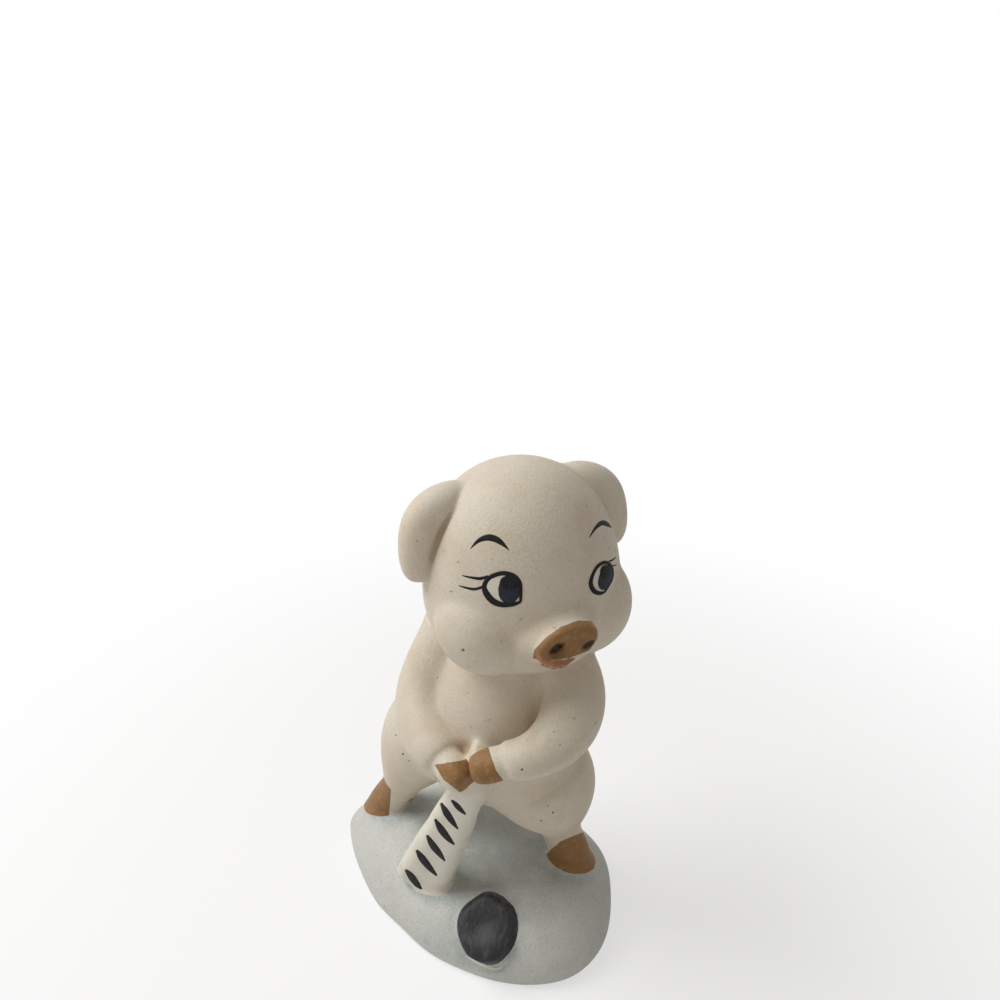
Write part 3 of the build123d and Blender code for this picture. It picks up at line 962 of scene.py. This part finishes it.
class PIG_OT_face(Operator):
    """Paint the eyes, lashes and brows"""

    bl_idname = "pig.face"
    bl_label = "Face"

    def execute(self, context):
        colours = settings()[1]
        black = paint_finish("line black", colours.black, colours.black_dry, 0.3)
        white = paint_finish("eye white", colours.slip, colours.slip_warm, 0.4)
        slate = paint_finish("iris slate", colours.iris, colours.iris_dry, 0.5)
        brushwork("eye_whites", EYE_WHITES, ["head"], white, 0.06)
        brushwork("irises", IRISES, ["head"], slate, 0.06, 0.03)
        brushwork("pupils", PUPILS, ["head"], black, 0.04, 0.08)
        brushwork("eye_rims", EYE_RIMS, ["head"], black, 0.07, 0.04)
        brushwork("lashes", LASHES, ["head"], black, 0.04)
        brushwork("brows", BROWS, ["head"], black, 0.05)
        return {"FINISHED"}


class PIG_OT_specks(Operator):
    """Dot the bisque with iron specks"""

    bl_idname = "pig.specks"
    bl_label = "Specks"

    def execute(self, context):
        colours = settings()[1]
        iron = paint_finish("iron speck", colours.speck, colours.fold_shade_and_dirt, 0.6)
        skin = ["torso", "head", "right_ear", "right_arm", "left_arm", "right_leg", "left_leg"]
        brushwork("iron_specks", SPECKS, skin, iron, 0.03)
        return {"FINISHED"}


class PIG_OT_stage(Operator):
    """Set the floor, the light and the camera"""

    bl_idname = "pig.stage"
    bl_label = "Stage"

    def execute(self, context):
        _, colours, stage = settings()
        scene = context.scene
        scene.view_settings.view_transform = "Standard"
        self.floor(colours, stage)
        self.sky(scene, colours, stage)
        self.lamp("key", stage.key, stage.key_place, stage.key_size)
        self.lamp("fill", stage.fill, stage.fill_place, stage.fill_size)
        self.camera(scene, stage)
        return {"FINISHED"}

    def floor(self, colours, stage):
        half = stage.floor / 2
        mesh = bpy.data.meshes.new("floor")
        mesh.from_pydata([(-half, -half, 0), (half, -half, 0), (half, half, 0), (-half, half, 0)], [],
                         [(0, 1, 2, 3)])
        finish = Finish("floor white", Base_Color=opaque(colours.floor), Roughness=0.9)
        away = finish.node("ShaderNodeVectorMath", {"operation": "LENGTH"}, {0: finish.places()}, "Value")
        seen = finish.node("ShaderNodeLightPath", {}, {}, "Is Camera Ray")
        seen = seen * (0.6 + away.between(40.0, 140.0) * 0.4)
        glow = finish.node("ShaderNodeEmission", {}, {"Color": (1.0, 1.0, 1.0, 1.0), "Strength": 1.0})
        plain = Value(finish, finish.shader.outputs[0])
        mix = finish.node("ShaderNodeMixShader", {}, {0: seen, 1: plain, 2: glow})
        output = next(n for n in finish.tree.nodes if n.type == "OUTPUT_MATERIAL")
        finish.tree.links.new(mix.socket, output.inputs["Surface"])
        mesh.materials.append(finish.material)
        floor = bpy.data.objects.new("floor", mesh)
        bpy.context.scene.collection.objects.link(floor)

    def sky(self, scene, colours, stage):
        world = bpy.data.worlds.new("sky")
        scene.world = world
        world.use_nodes = True
        sky = Shading(world.node_tree)
        soft = sky.node("ShaderNodeBackground", {},
                        {"Color": opaque(colours.daylight), "Strength": stage.sky})
        white = sky.node("ShaderNodeBackground", {}, {"Color": (1.0, 1.0, 1.0, 1.0), "Strength": 1.0})
        seen = sky.node("ShaderNodeLightPath", {}, {}, "Is Camera Ray")
        for way in ("Is Glossy Ray", "Is Transmission Ray"):
            seen = seen + sky.node("ShaderNodeLightPath", {}, {}, way)
        mix = sky.node("ShaderNodeMixShader", {}, {0: seen, 1: soft, 2: white})
        sky.tree.links.new(mix.socket, world.node_tree.nodes["World Output"].inputs["Surface"])

    def lamp(self, name, power, place, size):
        light = bpy.data.lights.new(name, "AREA")
        light.energy = power
        light.size = size
        lamp = bpy.data.objects.new(name, light)
        lamp.location = place
        middle = (Vector(CAD_BOX[0]) + Vector(CAD_BOX[1])) / 2
        lamp.rotation_euler = (middle - Vector(place)).to_track_quat("-Z", "Y").to_euler()
        bpy.context.scene.collection.objects.link(lamp)

    def camera(self, scene, stage):
        lens = bpy.data.cameras.new("camera")
        lens.sensor_width = stage.sensor
        lens.lens = stage.sensor * stage.focal / PHOTO_SIZE
        lens.clip_start = MM
        camera = bpy.data.objects.new("camera", lens)
        back = -Vector(stage.camera_ahead).normalized()
        right = Vector(stage.camera_right)
        right = (right - right.project(back)).normalized()
        turn = Matrix((right, back.cross(right), back)).transposed()
        camera.matrix_world = Matrix.Translation(stage.camera_place) @ turn.to_4x4()
        scene.collection.objects.link(camera)
        scene.camera = camera


class PIG_PT_sidebar(Panel):
    """Lists the figurine's pieces and settings"""

    bl_label = "Bisque Pig"
    bl_idname = "PIG_PT_sidebar"
    bl_space_type = "VIEW_3D"
    bl_region_type = "UI"
    bl_category = "Pig"

    def draw(self, context):
        for operator in OPERATORS:
            self.layout.operator(operator.bl_idname)
        for group in settings():
            box = self.layout.box()
            for name in group.__annotations__:
                box.prop(group, name)


OPERATORS = (PIG_OT_mound, PIG_OT_body, PIG_OT_stained, PIG_OT_stick, PIG_OT_puck, PIG_OT_face, PIG_OT_specks,
             PIG_OT_stage)
GROUPS = {"pig_clay": PigClay, "pig_colours": PigColours, "pig_stage": PigStage}


def register():
    for group in GROUPS.values():
        bpy.utils.register_class(group)
    for name, group in GROUPS.items():
        setattr(bpy.types.Scene, name, PointerProperty(type=group))
    for kind in (*OPERATORS, PIG_PT_sidebar):
        bpy.utils.register_class(kind)


def unregister():
    for kind in (PIG_PT_sidebar, *reversed(OPERATORS)):
        bpy.utils.unregister_class(kind)
    for name in GROUPS:
        delattr(bpy.types.Scene, name)
    for group in reversed(GROUPS.values()):
        bpy.utils.unregister_class(group)


def main():
    register()
    for operator in OPERATORS:
        family, name = operator.bl_idname.split(".")
        getattr(getattr(bpy.ops, family), name)()


if __name__ == "__main__":
    main()
